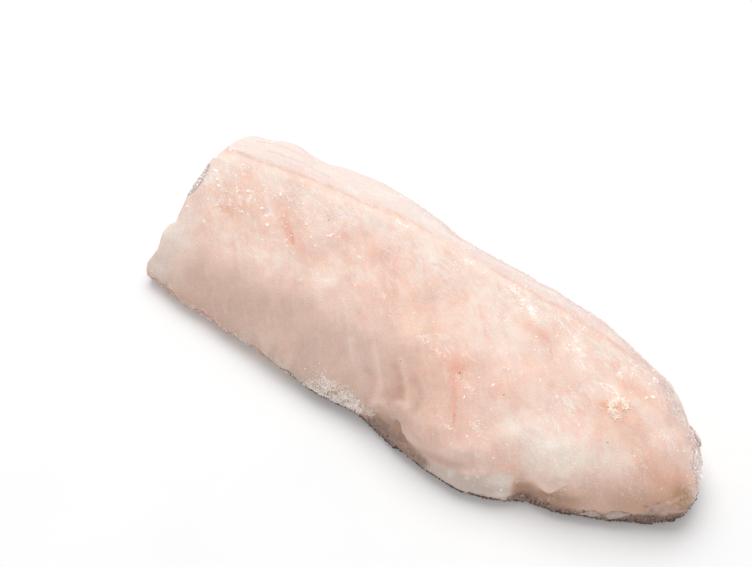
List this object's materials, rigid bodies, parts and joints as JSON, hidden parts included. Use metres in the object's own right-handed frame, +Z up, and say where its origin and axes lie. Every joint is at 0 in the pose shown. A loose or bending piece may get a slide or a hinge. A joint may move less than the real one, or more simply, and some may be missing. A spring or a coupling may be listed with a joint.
{
  "type": "hoki loin",
  "caption": "Frozen skinless white fish loin: a long wedge of pale flesh with one square cut end, one blunt rounded end and a flat underside.",
  "frame": {"origin": "centre of the bounding box at the flat underside", "axes": "+X along the loin from the square cut end to the blunt tail end, +Y from the thin near edge to the thick back edge, +Z up"},
  "size_m": [0.2034, 0.0838, 0.0296],
  "materials": {
    "flesh": "frosted, slightly moist frozen fish flesh"
  },
  "bodies": {
    "root": {"hoki_loin": "flesh"}
  },
  "joints": []
}
